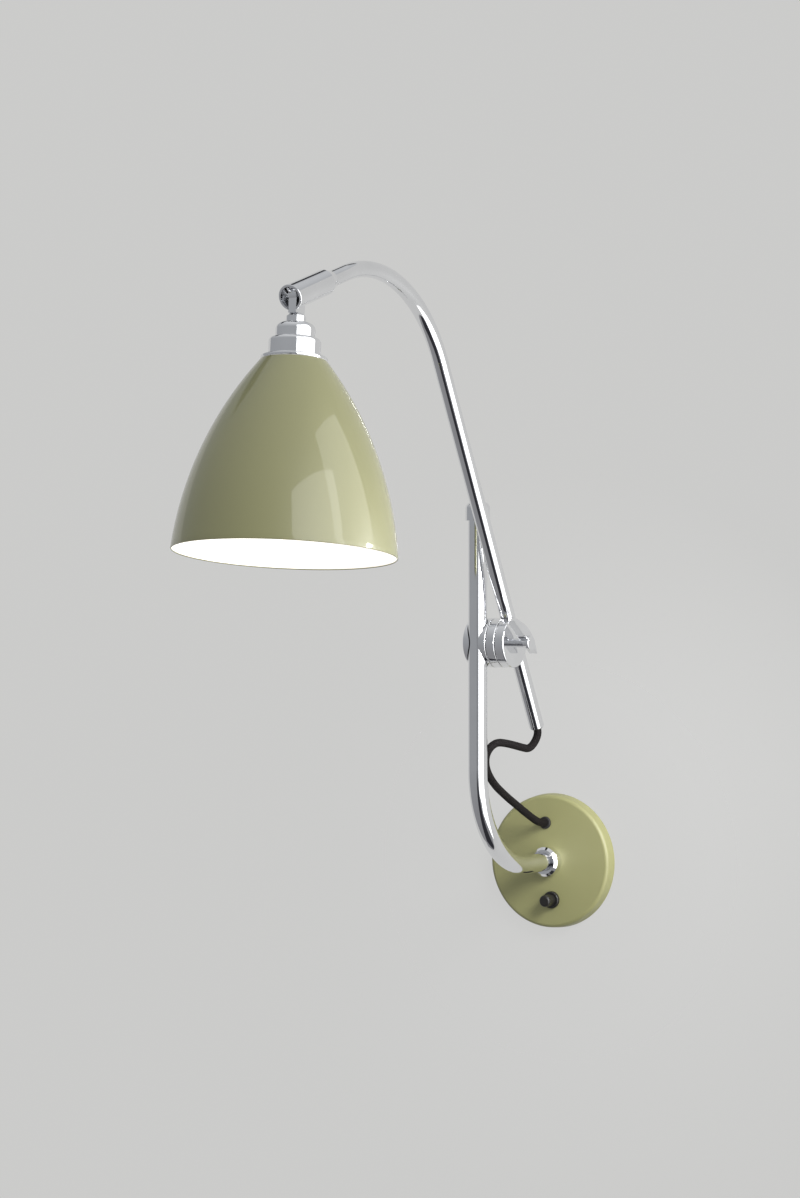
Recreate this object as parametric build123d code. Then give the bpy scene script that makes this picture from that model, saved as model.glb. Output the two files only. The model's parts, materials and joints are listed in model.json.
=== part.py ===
from build123d import *
import os
from math import cos, radians, sin, sqrt, tan

# Task wall light. Millimetres, +Z up, the wall is the plane Y = 0 and the light stands out
# towards -Y. The origin is the centre of the wall plate's back.

# Fits shared by many pieces
RUN_FIT = 0.05            # radial play of a piece that turns or slides in another
HOLE_FIT = 0.1            # radial play of a piece that passes through a fixed hole
PLAY = 0.1                # end play between faces that pass each other
SLIDE_GAP = 0.3           # play beside a tongue, a lug or a loose inner piece
SAME_SIZE = 1e-4          # edges this near to a radius are taken as having it

# Wall plate, a drafted dish, and the bracket behind it
PLATE_RADIUS = 55.0
PLATE_DEPTH = 10.5
PLATE_DRAFT = 1.0
PLATE_WALL = 1.6
PLATE_ROUND = 3.2
PLATE_INNER_ROUND = 0.5
BRACKET_RADIUS = 50.0
BRACKET_THICK = 1.6
BRACKET_HOLE_RADIUS = 13.0
WALL_SCREW_SPACING = 60.0
WALL_SCREW_HOLE_RADIUS = 2.5
LUG_INNER_RADIUS = 45.0
LUG_WIDTH = 10.0
LUG_HEIGHT = 8.0
LUG_COUNT = 4
SET_SCREW_RADIUS = 2.0
SET_SCREW_LENGTH = 7.0
SET_SCREW_LEVEL = 5.0
SOCKET_ACROSS = 2.0
SOCKET_DEPTH = 1.5
EARTH_PLACE = (-22.0, 24.0)
EARTH_HEAD_RADIUS = 3.5
EARTH_HEAD_HEIGHT = 2.4
EARTH_SHANK_RADIUS = 1.9

# Support tube: out of the wall plate, then up
TUBE_RADIUS = 7.5
TUBE_WALL = 1.5
TUBE_STANDOFF = 128.0
TUBE_BEND_RADIUS = 80.0
TUBE_TOP = 283.0
TUBE_TAIL = 3.0
COLLAR_RADIUS = 12.0
COLLAR_LENGTH = 9.5
COLLAR_CHAMFER = 2.0
COLLAR_RECESS_RADIUS = 8.6
COLLAR_RECESS_DEPTH = 2.0
WASHER_RADIUS = 12.0
WASHER_THICK = 0.8
LOCK_NUT_ACROSS = 22.0
LOCK_NUT_HEIGHT = 4.0
CAP_RADIUS = 9.75
CAP_SKIRT = 7.4
CAP_CROWN = 7.5
CAP_ROUND = 5.5

# Cord, where it enters the plate
CORD_RADIUS = 3.1
ENTRY_RADIUS = 31.5       # both fittings on the plate's face stand this far from its centre
GROMMET_ANGLE = 95.5
GROMMET_FLANGE_RADIUS = 5.1
GROMMET_FLANGE = 2.0
GROMMET_NECK_RADIUS = 4.0
GROMMET_TAIL = 1.5
STOP_RADIUS = 4.5
STOP_LENGTH = 1.8
LEAD_RADIUS = 0.9
LEAD_PITCH = 2.6
LEAD_LEVEL = 4.0
LEAD_BEND = 1.4
LEAD_RUN_IN = 5.0
BLOCK_PLACE = (23.0, 24.0)
BLOCK_SIZE = (22.0, 13.0, 6.5)
BLOCK_SCREW_RADIUS = 1.5
BLOCK_SCREW_LENGTH = 3.0
BLOCK_SCREW_PITCH = 10.0

# Push switch on the plate
SWITCH_ANGLE = GROMMET_ANGLE - 180.0
SWITCH_BODY_RADIUS = 9.0
SWITCH_WALL = 0.8
SWITCH_NECK_RADIUS = 5.7
SWITCH_CAVITY_RADIUS = 6.4
BEZEL_RADIUS = 7.0
BEZEL_HEIGHT = 3.0
BEZEL_ROUND = 1.0
BUTTON_RADIUS = 4.85
BUTTON_REACH = 11.0       # how far the button stands out of its bezel
BUTTON_ROUND = 2.0
BUTTON_FLANGE_RADIUS = 6.1
BUTTON_FLANGE = 1.2
BUTTON_TRAVEL = 3.0

# Clamp: four jaws on one screw, two on the support tube and two on the arm
CLAMP_HEIGHT = 180.0
CLAMP_RADIUS = 19.5
TUBE_OFFSET = 12.4        # the tube's axis stands this far in front of the clamp screw
ARM_OFFSET = 12.3         # the arm's axis passes this far behind the clamp screw
TUBE_JAW_HALF = 10.0      # the two tube jaws reach this far to each side of the tube's axis
TUBE_JAW_GAP = 0.6
FRICTION_THICK = 0.6
FRICTION_RADIUS = 18.5
ARM_JAW_INNER = 7.4
ARM_JAW_GAP = 0.6
ARM_JAW_OUTER = 7.9
JAW_EDGE = 0.6
JAW_END_ROUND = 1.2
LINER_WALL = 0.5
TUBE_LINER_LENGTH = 10.0
TUBE_LINER_FRONT = 1.5    # the liner reaches this far round in front of the tube's axis
ARM_LINER_LENGTH = 10.0
SCREW_RADIUS = 2.5
SCREW_HOLE_FIT = 0.2
CLAMP_NUT_ACROSS = 8.0
CLAMP_NUT_HEIGHT = 4.0
SCREW_HEAD_RADIUS = 5.85
SCREW_HEAD_HEIGHT = 2.2
SCREW_HEAD_EDGE = 0.7

# Wing, a half-moon thumb plate on the clamp screw
WING_STEM = 4.9           # boss between the outer jaw and the wing
WING_THICK = 7.6
WING_BOSS_RADIUS = 3.5
WING_LONG_TIP = 29.8
WING_SHORT_TIP = 16.2
WING_RISE = 8.3
WING_SIDE = 0.9           # the flat edge passes this far beside the screw
WING_ANGLE = -34.5        # the flat edge's slope, seen along the screw
WING_EDGE = 0.8

# Arm: a straight tube that ends in a hook
ARM_RADIUS = 6.0
ARM_WALL = 1.0
ARM_LEAN = 28.5           # from the vertical, outwards at the top
ARM_BELOW = 83.0          # straight length below the clamp
ARM_ABOVE = 237.0         # straight length above the clamp
HOOK_RADIUS = 112.0
HOOK_TURN = 80.0
HOOK_END = 66.0           # from the end of the hook's bend to the pivot pin
BUSH_FLANGE_RADIUS = 6.0
BUSH_FLANGE = 2.4
BUSH_TAPER = 2.4
BUSH_SPIGOT = 9.0

# Knuckle: a sleeve that swivels on the arm's end, hollow and slotted at its front
SLEEVE_RADIUS = 9.3
SLEEVE_REAR = 44.0        # behind the pivot pin
SLEEVE_FRONT = 10.0       # ahead of the pivot pin
SLEEVE_STOP = 19.0        # the arm's end seats this far behind the pin
SLEEVE_TAPER = 8.0
SLEEVE_MOUTH_RADIUS = 6.9
SLEEVE_ROUND = 0.6
SLEEVE_WIRE_RADIUS = 3.2
FORK_ROOT = 10.5          # the hollow and the slot end this far behind the pin
FORK_BORE_RADIUS = 7.6
PIN_RADIUS = 2.5
PIN_SKIN = 0.6            # left of the sleeve's wall at the pin's blind end
SWIVEL_SCREW_BACK = 28.0
SWIVEL_SCREW_LENGTH = 2.6

# Head: stem, gallery, lampholder and shade, in depths below the pivot pin
HEAD_TILT = 7.1           # the shade's mouth leans outwards by this
HEAD_SWIVEL = 1.4         # and the knuckle is turned on the arm by this
TONGUE_THICK = 6.4
TONGUE_WIDTH = 11.0
EYE_RADIUS = 6.6
NECK_RADIUS = 7.0
NECK_TOP = 13.8
NECK_CHAMFER = 2.0
SPIGOT_RADIUS = 5.0
SPIGOT_LENGTH = 6.6
STEM_BORE_RADIUS = 3.5
GALLERY_TOP = 20.4
GALLERY_WALL = 1.5
STEP_ONE_RADIUS = 14.0
STEP_ONE_HEIGHT = 10.8
STEP_TWO_RADIUS = 18.4
STEP_TWO_HEIGHT = 13.1
GALLERY_SHOULDER = 5.0
GALLERY_EDGE = 3.0
GALLERY_LEDGE = 1.5
GALLERY_NUT_ACROSS = 14.0
GALLERY_NUT_HEIGHT = 4.0
FLANGE_RADIUS = 23.5
FLANGE_THICK = 3.0
FLANGE_ROUND = 1.2
HOLDER_TOP = 28.2
HOLDER_NOSE_RADIUS = 12.0
HOLDER_DEPTH = 59.2
HOLDER_BORE_RADIUS = 13.4
HOLDER_BORE_TOP = 36.2
HEAD_FLEX_RADIUS = 2.0
HEAD_FLEX_TOP = 15.7
SHADE_RIM_RADIUS = 78.6
SHADE_TOP_RADIUS = 23.6
SHADE_HEIGHT = 135.5
SHADE_ARC_RADIUS = 253.0
SHADE_WALL = 1.2
SHADE_RING_RADIUS = 21.5
SHADE_RING_HEIGHT = 4.8
BULB_CAP_WALL = 0.6
BULB_BALL_RADIUS = 22.5
BULB_LENGTH = 54.0        # from the lampholder's mouth to the bulb's end
BULB_NECK_RADIUS = 12.6
BULB_WALL = 1.0
BULB_SEAM_HEIGHT = 12.0   # the neck's cone meets the ball this far above its middle

# The free cord, from the arm's lower end to the plate. It leaves both ends straight. The
# points between, chosen by eye, stand off the straight line that joins the two exits.
CORD_ARM_EXIT = 4.0
CORD_PLATE_EXIT = 8.0
CORD_BOWS = [
    (-1, -4, -1),
    (-1, -14, 0),
    (0, -28, 8),
    (-2, -47, 18),
    (-5, -63, 26),
    (-8, -73, 24),
    (-10, -71, 18),
    (-9, -60, 11),
    (-8, -41, 6),
    (-6, -29, 5),
    (-4, -15, 3),
]
# How many corners of the route each stretch takes, from the arm to the plate.
CORD_CORNER_COUNT = {
    "cord_arm_end": 4,
    "cord_loop": 3,
    "cord_bend": 2,
    "cord_rise": 2,
    "cord_plate_end": 2,
}
CORD_ARC_RATIO = 0.45     # of the shorter run beside a corner

# Planes and levels worked out from the sizes above
PLATE = Plane((0, 0, 0), x_dir=(1, 0, 0), z_dir=(0, -1, 0))
PLATE_INNER = PLATE_DEPTH - PLATE_WALL
CLAMP = Plane((0, TUBE_OFFSET - TUBE_STANDOFF, CLAMP_HEIGHT), x_dir=(0, 1, 0), z_dir=(1, 0, 0))

BUTTON_FLANGE_TOP = PLATE_INNER - SWITCH_WALL - PLAY
BUTTON_BASE = BUTTON_FLANGE_TOP - BUTTON_FLANGE
SWITCH_FLOOR = BUTTON_BASE - BUTTON_TRAVEL - PLAY

FRICTION_FACE = TUBE_JAW_HALF
ARM_JAW_FACE = FRICTION_FACE + FRICTION_THICK
ARM_SPLIT = ARM_JAW_FACE + ARM_JAW_INNER
OUTER_JAW_FACE = ARM_SPLIT + ARM_JAW_GAP
OUTER_END = OUTER_JAW_FACE + ARM_JAW_OUTER
WING_FACE = OUTER_END + WING_STEM
HEAD_FACE = WING_FACE + WING_THICK
ARM_SIDE = ARM_SPLIT + ARM_JAW_GAP / 2
TUBE_BORE_RADIUS = TUBE_RADIUS + RUN_FIT + LINER_WALL + RUN_FIT
ARM_BORE_RADIUS = ARM_RADIUS + RUN_FIT + LINER_WALL + RUN_FIT

ARM_FOOT = CLAMP.from_local_coords(
    (ARM_OFFSET * cos(radians(ARM_LEAN)), ARM_OFFSET * sin(radians(ARM_LEAN)), ARM_SIDE)
)
ARM = Plane(ARM_FOOT, x_dir=(1, 0, 0), z_dir=(0, -sin(radians(ARM_LEAN)), cos(radians(ARM_LEAN))))
HOOK_TANGENT = HOOK_RADIUS * tan(radians(HOOK_TURN / 2))
HOOK_CORNER = Vector(0, 0, ARM_ABOVE + HOOK_TANGENT)
HOOK_AIM = Vector(0, -sin(radians(HOOK_TURN)), cos(radians(HOOK_TURN)))

END_DROP = ARM_LEAN + HOOK_TURN
PIN = ARM.from_local_coords(HOOK_CORNER + HOOK_AIM * (HOOK_TANGENT + HOOK_END))
ARM_END = Plane(PIN, x_dir=(1, 0, 0), z_dir=(0, -sin(radians(END_DROP)), cos(radians(END_DROP))))
KNUCKLE = ARM_END * Rot(0, 0, HEAD_SWIVEL)
HEAD = KNUCKLE * Rot(-END_DROP - HEAD_TILT, 0, 0)

FORK_SLOT = TONGUE_THICK + 2 * SLIDE_GAP
PIN_END = SLEEVE_RADIUS - PIN_SKIN
LEDGE_TOP = GALLERY_TOP + STEP_ONE_HEIGHT
GALLERY_BASE = LEDGE_TOP + STEP_TWO_HEIGHT
HOLDER_SEAT = LEDGE_TOP + GALLERY_LEDGE
HOLDER_RADIUS = STEP_TWO_RADIUS - GALLERY_WALL - SLIDE_GAP
SHADE_TOP = GALLERY_BASE + FLANGE_THICK
SHADE_RIM = SHADE_TOP + SHADE_HEIGHT


# Shapes used by several pieces

def disc(radius, low, high):
    """A round solid on the local Z axis between two levels."""
    return Pos(0, 0, (low + high) / 2) * Cylinder(radius, high - low)


def ring(outer, inner, low, high):
    return disc(outer, low, high) - disc(inner, low, high)


def hexagon(across, low, high):
    return Pos(0, 0, low) * extrude(RegularPolygon(across / 2, 6, major_radius=False), high - low)


def box(x, y, z):
    """A box between two values on each local axis."""
    middle = [(low + high) / 2 for low, high in (x, y, z)]
    return Pos(*middle) * Box(x[1] - x[0], y[1] - y[0], z[1] - z[0])


def turned(*points):
    """A solid of revolution about the local Z axis from a profile of (radius, level) points."""
    return revolve(Plane.XZ * make_face(Polyline(*points, close=True)), axis=Axis.Z)


def circles(solid, radius):
    """The round edges of one radius, lowest first."""
    edges = solid.edges().filter_by(GeomType.CIRCLE)
    return edges.filter_by(lambda edge: abs(edge.radius - radius) < SAME_SIZE).sort_by(Axis.Z)


def pipe(path, radius, bore=0):
    """A round bar, or a tube where it has a bore, along a path."""
    section = Circle(radius)
    if bore:
        section -= Circle(bore)
    return sweep(Plane(path @ 0, z_dir=path % 0) * section, path=path)


def entry(angle):
    """The place of a fitting on the wall plate's face."""
    return Pos(ENTRY_RADIUS * cos(radians(angle)), ENTRY_RADIUS * sin(radians(angle)), 0)


def grub_screw(radius, low, high):
    """A headless screw with a hexagon socket in its upper end."""
    return disc(radius, low, high) - hexagon(SOCKET_ACROSS, high - SOCKET_DEPTH, high)


# Wall plate and what is fixed to it

def plate_form(inset):
    """The plate's drafted and rounded form, drawn in all round by an inset."""
    front = PLATE_RADIUS - PLATE_DRAFT - inset
    back = PLATE_RADIUS - inset
    level = PLATE_DEPTH - inset
    solid = turned((0, -inset), (back, -inset), (front, level), (0, level))
    edge = max(PLATE_ROUND - inset, PLATE_INNER_ROUND)
    return fillet(circles(solid, front)[-1:], edge)


def set_screw_place():
    """Axis of the screw that locks the plate, pointing straight down."""
    return Pos(0, 0, SET_SCREW_LEVEL) * Rot(90, 0, 0)


def wall_plate():
    dish = plate_form(0) - plate_form(PLATE_WALL)
    dish -= disc(TUBE_RADIUS + HOLE_FIT, 0, PLATE_DEPTH)
    dish -= entry(GROMMET_ANGLE) * disc(GROMMET_NECK_RADIUS + HOLE_FIT, 0, PLATE_DEPTH)
    dish -= entry(SWITCH_ANGLE) * disc(SWITCH_NECK_RADIUS + HOLE_FIT, 0, PLATE_DEPTH)
    dish -= set_screw_place() * disc(SET_SCREW_RADIUS + SLIDE_GAP, LUG_INNER_RADIUS, PLATE_RADIUS)
    return PLATE * dish


def wall_bracket():
    plain = disc(BRACKET_RADIUS, 0, BRACKET_THICK)
    lug = box((LUG_INNER_RADIUS, PLATE_RADIUS), (-LUG_WIDTH / 2, LUG_WIDTH / 2), (0, LUG_HEIGHT))
    for number in range(LUG_COUNT):
        plain += Rot(0, 0, 360 / LUG_COUNT * number) * lug
    bracket = plain & plate_form(PLATE_WALL + SLIDE_GAP)
    bracket -= disc(BRACKET_HOLE_RADIUS, 0, BRACKET_THICK)
    for side in (-1, 1):
        place = Pos(side * WALL_SCREW_SPACING / 2, 0, 0)
        bracket -= place * disc(WALL_SCREW_HOLE_RADIUS, 0, BRACKET_THICK)
    bracket -= Pos(*EARTH_PLACE, 0) * disc(EARTH_SHANK_RADIUS + HOLE_FIT, 0, BRACKET_THICK)
    bracket -= set_screw_place() * disc(SET_SCREW_RADIUS + HOLE_FIT, LUG_INNER_RADIUS - PLAY, PLATE_RADIUS)
    return PLATE * bracket


def plate_set_screw():
    top = PLATE_RADIUS - PLATE_DRAFT
    return PLATE * set_screw_place() * grub_screw(SET_SCREW_RADIUS, top - SET_SCREW_LENGTH, top)


def earth_screw():
    screw = disc(EARTH_SHANK_RADIUS, 0, BRACKET_THICK)
    screw += disc(EARTH_HEAD_RADIUS, BRACKET_THICK, BRACKET_THICK + EARTH_HEAD_HEIGHT)
    return PLATE * Pos(*EARTH_PLACE, 0) * screw


# Support tube and its fixing

def support_tube():
    path = FilletPolyline(
        (0, -TUBE_TAIL, 0), (0, -TUBE_STANDOFF, 0), (0, -TUBE_STANDOFF, TUBE_TOP), radius=TUBE_BEND_RADIUS
    )
    return pipe(path, TUBE_RADIUS, TUBE_RADIUS - TUBE_WALL)


def tube_collar():
    face = PLATE_DEPTH + COLLAR_LENGTH
    collar = disc(COLLAR_RADIUS, PLATE_DEPTH, face)
    collar = chamfer(circles(collar, COLLAR_RADIUS)[-1:], COLLAR_CHAMFER)
    collar -= disc(TUBE_RADIUS + RUN_FIT, PLATE_DEPTH, face)
    collar -= disc(COLLAR_RECESS_RADIUS, face - COLLAR_RECESS_DEPTH, face)
    return PLATE * collar


def tube_washer():
    return PLATE * ring(WASHER_RADIUS, TUBE_RADIUS + HOLE_FIT, PLATE_INNER - WASHER_THICK, PLATE_INNER)


def tube_lock_nut():
    top = PLATE_INNER - WASHER_THICK
    nut = hexagon(LOCK_NUT_ACROSS, top - LOCK_NUT_HEIGHT, top)
    return PLATE * (nut - disc(TUBE_RADIUS + RUN_FIT, top - LOCK_NUT_HEIGHT, top))


def tube_cap():
    cap = disc(CAP_RADIUS, -CAP_SKIRT, CAP_CROWN)
    cap = fillet(circles(cap, CAP_RADIUS)[-1:], CAP_ROUND)
    cap -= disc(TUBE_RADIUS + RUN_FIT, -CAP_SKIRT, 0)
    return Pos(0, -TUBE_STANDOFF, TUBE_TOP) * cap


# Cord entry and wiring behind the plate

def cord_grommet():
    bore = CORD_RADIUS + RUN_FIT
    face = PLATE_DEPTH + GROMMET_FLANGE
    grommet = disc(GROMMET_FLANGE_RADIUS, PLATE_DEPTH, face)
    grommet = fillet(circles(grommet, GROMMET_FLANGE_RADIUS)[-1:], GROMMET_FLANGE / 2)
    grommet += disc(GROMMET_NECK_RADIUS, PLATE_INNER, PLATE_DEPTH)
    grommet += disc(GROMMET_FLANGE_RADIUS, PLATE_INNER - GROMMET_TAIL, PLATE_INNER)
    grommet -= disc(bore, PLATE_INNER - GROMMET_TAIL, face)
    return PLATE * entry(GROMMET_ANGLE) * grommet


STOP_TOP = PLATE_INNER - GROMMET_TAIL
TAIL_END = STOP_TOP - STOP_LENGTH


def flex_tail():
    return PLATE * entry(GROMMET_ANGLE) * disc(CORD_RADIUS, TAIL_END, PLATE_DEPTH + GROMMET_FLANGE)


def cord_stop():
    return PLATE * entry(GROMMET_ANGLE) * ring(STOP_RADIUS, CORD_RADIUS + RUN_FIT, TAIL_END, STOP_TOP)


def terminal_block():
    length, width, height = BLOCK_SIZE
    top = BRACKET_THICK + height
    block = box((-length / 2, length / 2), (-width / 2, width / 2), (BRACKET_THICK, top))
    for side in (-1, 1):
        hole = disc(BLOCK_SCREW_RADIUS + HOLE_FIT, top - BLOCK_SCREW_LENGTH, top)
        block -= Pos(side * BLOCK_SCREW_PITCH / 2, 0, 0) * hole
    return PLATE * Pos(*BLOCK_PLACE, 0) * block


def terminal_screws():
    top = BRACKET_THICK + BLOCK_SIZE[2]
    screw = disc(BLOCK_SCREW_RADIUS, top - BLOCK_SCREW_LENGTH, top)
    places = [Pos(side * BLOCK_SCREW_PITCH / 2, 0, 0) for side in (-1, 1)]
    return PLATE * Pos(*BLOCK_PLACE, 0) * (places[0] * screw + places[1] * screw)


def lead(*points):
    return pipe(FilletPolyline(*points, radius=LEAD_BEND), LEAD_RADIUS)


def supply_leads():
    """Two leads from the end of the sheath to the terminal block's near side."""
    start = entry(GROMMET_ANGLE).position
    side = BLOCK_PLACE[0] - BLOCK_SIZE[0] / 2
    leads = []
    for hand in (-1, 1):
        out = start.Y + hand * LEAD_PITCH / 2
        y = BLOCK_PLACE[1] + hand * LEAD_PITCH
        sheath = [(start.X, out, level) for level in (TAIL_END, LEAD_LEVEL)]
        block = [(x, y, LEAD_LEVEL) for x in (side - LEAD_RUN_IN, side)]
        leads.append(lead(*sheath, *block))
    return PLATE * (leads[0] + leads[1])


def switch_leads():
    """Two leads from the terminal block's lower side to the switch."""
    switch = entry(SWITCH_ANGLE).position
    low = BLOCK_PLACE[1] - BLOCK_SIZE[1] / 2
    leads = []
    for hand in (-1, 1):
        x = BLOCK_PLACE[0] + hand * LEAD_PITCH / 2 - LEAD_PITCH
        y = switch.Y - hand * LEAD_PITCH / 2
        end = switch.X + SWITCH_BODY_RADIUS
        leads.append(lead((x, low, LEAD_LEVEL), (x, y, LEAD_LEVEL), (end, y, LEAD_LEVEL)))
    return PLATE * (leads[0] + leads[1])


# Push switch

def switch_body():
    mouth = PLATE_DEPTH + BEZEL_HEIGHT
    body = disc(SWITCH_BODY_RADIUS, SWITCH_FLOOR - SWITCH_WALL, PLATE_INNER)
    body += disc(SWITCH_NECK_RADIUS, PLATE_INNER, mouth)
    body -= disc(SWITCH_CAVITY_RADIUS, SWITCH_FLOOR, PLATE_INNER - SWITCH_WALL)
    body -= disc(BUTTON_RADIUS + RUN_FIT, SWITCH_FLOOR, mouth)
    return PLATE * entry(SWITCH_ANGLE) * body


def switch_bezel():
    bezel = disc(BEZEL_RADIUS, PLATE_DEPTH, PLATE_DEPTH + BEZEL_HEIGHT)
    bezel = fillet(circles(bezel, BEZEL_RADIUS)[-1:], BEZEL_ROUND)
    bezel -= disc(SWITCH_NECK_RADIUS + RUN_FIT, PLATE_DEPTH, PLATE_DEPTH + BEZEL_HEIGHT)
    return PLATE * entry(SWITCH_ANGLE) * bezel


def switch_button():
    button = disc(BUTTON_RADIUS, BUTTON_BASE, PLATE_DEPTH + BEZEL_HEIGHT + BUTTON_REACH)
    button = fillet(circles(button, BUTTON_RADIUS)[-1:], BUTTON_ROUND)
    button += disc(BUTTON_FLANGE_RADIUS, BUTTON_BASE, BUTTON_FLANGE_TOP)
    return PLATE * entry(SWITCH_ANGLE) * button


# Clamp on the support tube

def jaw(low, high, low_edge, high_edge):
    """A slice of the clamp's barrel with its edges broken and the screw's hole through it."""
    solid = disc(CLAMP_RADIUS, low, high)
    solid = fillet(circles(solid, CLAMP_RADIUS)[:1], low_edge)
    solid = fillet(circles(solid, CLAMP_RADIUS)[-1:], high_edge)
    return solid - disc(SCREW_RADIUS + SCREW_HOLE_FIT, low, high)


def tube_bore():
    return Pos(-TUBE_OFFSET, 0, 0) * Rot(90, 0, 0) * Cylinder(TUBE_BORE_RADIUS, 3 * CLAMP_RADIUS)


def tube_jaw_outer():
    solid = jaw(-TUBE_JAW_HALF, -TUBE_JAW_GAP / 2, JAW_END_ROUND, JAW_EDGE) - tube_bore()
    nut_bed = -TUBE_JAW_HALF + CLAMP_NUT_HEIGHT
    return CLAMP * (solid - hexagon(CLAMP_NUT_ACROSS + 2 * HOLE_FIT, -TUBE_JAW_HALF, nut_bed))


def tube_jaw_inner():
    return CLAMP * (jaw(TUBE_JAW_GAP / 2, TUBE_JAW_HALF, JAW_EDGE, JAW_EDGE) - tube_bore())


def clamp_nut():
    levels = (-TUBE_JAW_HALF, -TUBE_JAW_HALF + CLAMP_NUT_HEIGHT)
    return CLAMP * (hexagon(CLAMP_NUT_ACROSS, *levels) - disc(SCREW_RADIUS + RUN_FIT, *levels))


def tube_liner():
    half = TUBE_LINER_LENGTH / 2
    sleeve = ring(TUBE_RADIUS + RUN_FIT + LINER_WALL, TUBE_RADIUS + RUN_FIT, -half, half)
    reach = TUBE_BORE_RADIUS
    sleeve -= box((-reach, reach), (-reach, -TUBE_LINER_FRONT), (-half, half))
    return Pos(0, -TUBE_STANDOFF, CLAMP_HEIGHT) * sleeve


def friction_washer():
    return CLAMP * ring(FRICTION_RADIUS, SCREW_RADIUS + SCREW_HOLE_FIT, FRICTION_FACE, ARM_JAW_FACE)


# Clamp on the arm

def arm_bore():
    return ARM * Cylinder(ARM_BORE_RADIUS, 3 * CLAMP_RADIUS)


def arm_jaw_inner():
    return CLAMP * jaw(ARM_JAW_FACE, ARM_SPLIT, JAW_EDGE, JAW_EDGE) - arm_bore()


def arm_jaw_outer():
    return CLAMP * jaw(OUTER_JAW_FACE, OUTER_END, JAW_EDGE, JAW_END_ROUND) - arm_bore()


def arm_liner():
    half = ARM_LINER_LENGTH / 2
    return ARM * ring(ARM_RADIUS + RUN_FIT + LINER_WALL, ARM_RADIUS + RUN_FIT, -half, half)


# Clamp screw and wing

def clamp_screw():
    tip = HEAD_FACE + SCREW_HEAD_HEIGHT
    head = disc(SCREW_HEAD_RADIUS, HEAD_FACE, tip)
    head = fillet(circles(head, SCREW_HEAD_RADIUS)[-1:], SCREW_HEAD_EDGE)
    return CLAMP * (head + disc(SCREW_RADIUS, PLAY - TUBE_JAW_HALF, HEAD_FACE))


def wing():
    """A half-moon plate: one straight edge beside the screw and one arched edge."""
    middle = (WING_SHORT_TIP - WING_LONG_TIP) / 2
    low_tip = (-WING_LONG_TIP, WING_SIDE)
    high_tip = (WING_SHORT_TIP, WING_SIDE)
    arch = ThreePointArc(low_tip, (middle, WING_SIDE + WING_RISE), high_tip)
    plate = extrude(make_face([arch, Line(high_tip, low_tip)]), WING_THICK)
    plate = Rot(0, 0, WING_ANGLE) * (Pos(0, 0, WING_FACE) * plate)
    faces = plate.faces().sort_by(Axis.Z)
    plate = fillet(faces[0].edges() + faces[-1].edges(), WING_EDGE)
    plate += disc(WING_BOSS_RADIUS, OUTER_END, HEAD_FACE)
    return CLAMP * (plate - disc(SCREW_RADIUS + RUN_FIT, OUTER_END, HEAD_FACE))


# Arm

def arm_path(low, pin_gap):
    """The arm's centre line, from a level below the clamp to a distance short of the pin."""
    end = HOOK_CORNER + HOOK_AIM * (HOOK_TANGENT + HOOK_END - pin_gap)
    return FilletPolyline((0, 0, low), HOOK_CORNER, end, radius=HOOK_RADIUS)


BUSH_FACE = -ARM_BELOW - BUSH_FLANGE


def arm_tube():
    return ARM * pipe(arm_path(-ARM_BELOW, SLEEVE_STOP + PLAY), ARM_RADIUS, ARM_RADIUS - ARM_WALL)


def arm_bush():
    outer = BUSH_FLANGE_RADIUS
    spigot = ARM_RADIUS - ARM_WALL - RUN_FIT
    bore = CORD_RADIUS + RUN_FIT
    top = BUSH_SPIGOT - ARM_BELOW
    profile = [
        (bore, BUSH_FACE),
        (outer - BUSH_TAPER, BUSH_FACE),
        (outer, -ARM_BELOW),
        (spigot, -ARM_BELOW),
        (spigot, top),
        (bore, top),
    ]
    return ARM * turned(*profile)


def arm_flex():
    return ARM * pipe(arm_path(BUSH_FACE, SLEEVE_STOP + PLAY), CORD_RADIUS)


# Knuckle on the arm's end

def swivel_screw_place():
    """Axis of the screw that holds the sleeve, on the side away from the wing."""
    return Pos(0, 0, -SWIVEL_SCREW_BACK) * Rot(0, -90, 0)


def knuckle_sleeve():
    profile = [
        (0, -SLEEVE_REAR),
        (SLEEVE_MOUTH_RADIUS, -SLEEVE_REAR),
        (SLEEVE_RADIUS, SLEEVE_TAPER - SLEEVE_REAR),
        (SLEEVE_RADIUS, SLEEVE_FRONT),
        (0, SLEEVE_FRONT),
    ]
    sleeve = turned(*profile)
    sleeve = fillet(circles(sleeve, SLEEVE_RADIUS)[-1:], SLEEVE_ROUND)
    sleeve -= disc(ARM_RADIUS + RUN_FIT, -SLEEVE_REAR, -SLEEVE_STOP)
    sleeve -= disc(SLEEVE_WIRE_RADIUS, -SLEEVE_STOP, -FORK_ROOT)
    sleeve -= disc(FORK_BORE_RADIUS, -FORK_ROOT, SLEEVE_FRONT)
    half = FORK_SLOT / 2
    sleeve -= box((-half, half), (-SLEEVE_RADIUS, 0), (-FORK_ROOT, SLEEVE_FRONT))
    sleeve -= Rot(0, 90, 0) * disc(PIN_RADIUS + RUN_FIT, -SLEEVE_RADIUS, PIN_END)
    sleeve -= swivel_screw_place() * disc(SET_SCREW_RADIUS + HOLE_FIT, ARM_RADIUS, SLEEVE_RADIUS)
    return KNUCKLE * sleeve


def pivot_pin():
    pin = Rot(0, 90, 0) * disc(PIN_RADIUS, -SLEEVE_RADIUS, PIN_END)
    return KNUCKLE * (pin & disc(SLEEVE_RADIUS, -PIN_RADIUS, PIN_RADIUS))


def swivel_screw():
    low = ARM_RADIUS + HOLE_FIT
    return KNUCKLE * swivel_screw_place() * grub_screw(SET_SCREW_RADIUS, low, low + SWIVEL_SCREW_LENGTH)


# Head

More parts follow.
